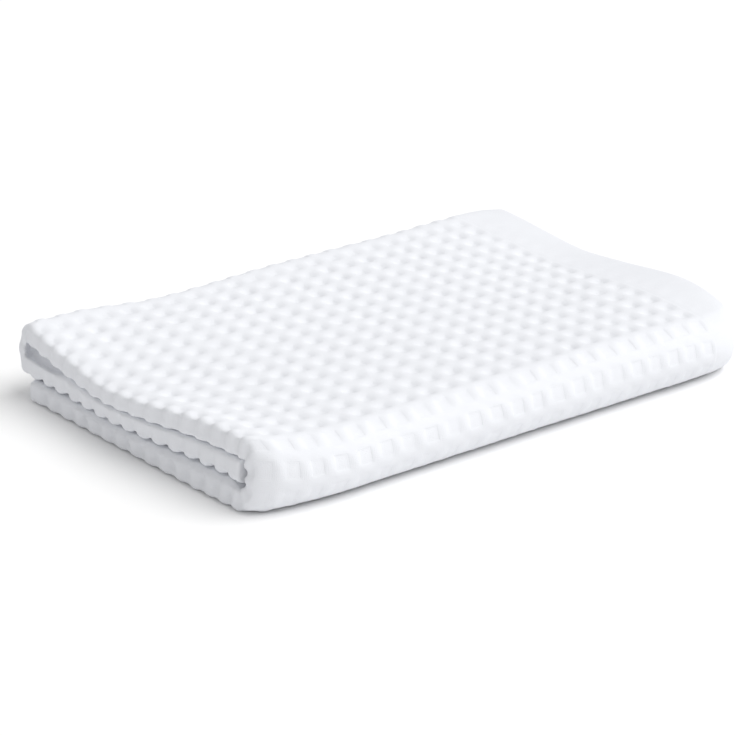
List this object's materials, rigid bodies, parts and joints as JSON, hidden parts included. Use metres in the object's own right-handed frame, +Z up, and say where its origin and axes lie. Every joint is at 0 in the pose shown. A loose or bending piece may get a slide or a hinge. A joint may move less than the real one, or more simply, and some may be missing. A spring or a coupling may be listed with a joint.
{
  "type": "waffle hand towel",
  "caption": "White cotton waffle hand towel, folded in thirds across and in thirds again, lying flat, with a plain hem on top at its right end.",
  "frame": {"origin": "centre of the folded towel's underside, on the surface it lies on", "axes": "+X along the front fold towards the hemmed end, +Y towards the back fold, +Z up"},
  "size_m": [0.243, 0.1642, 0.0304],
  "materials": {
    "waffle_cotton": "matt honeycomb weave"
  },
  "bodies": {
    "root": {"towel": "waffle_cotton"}
  },
  "joints": []
}
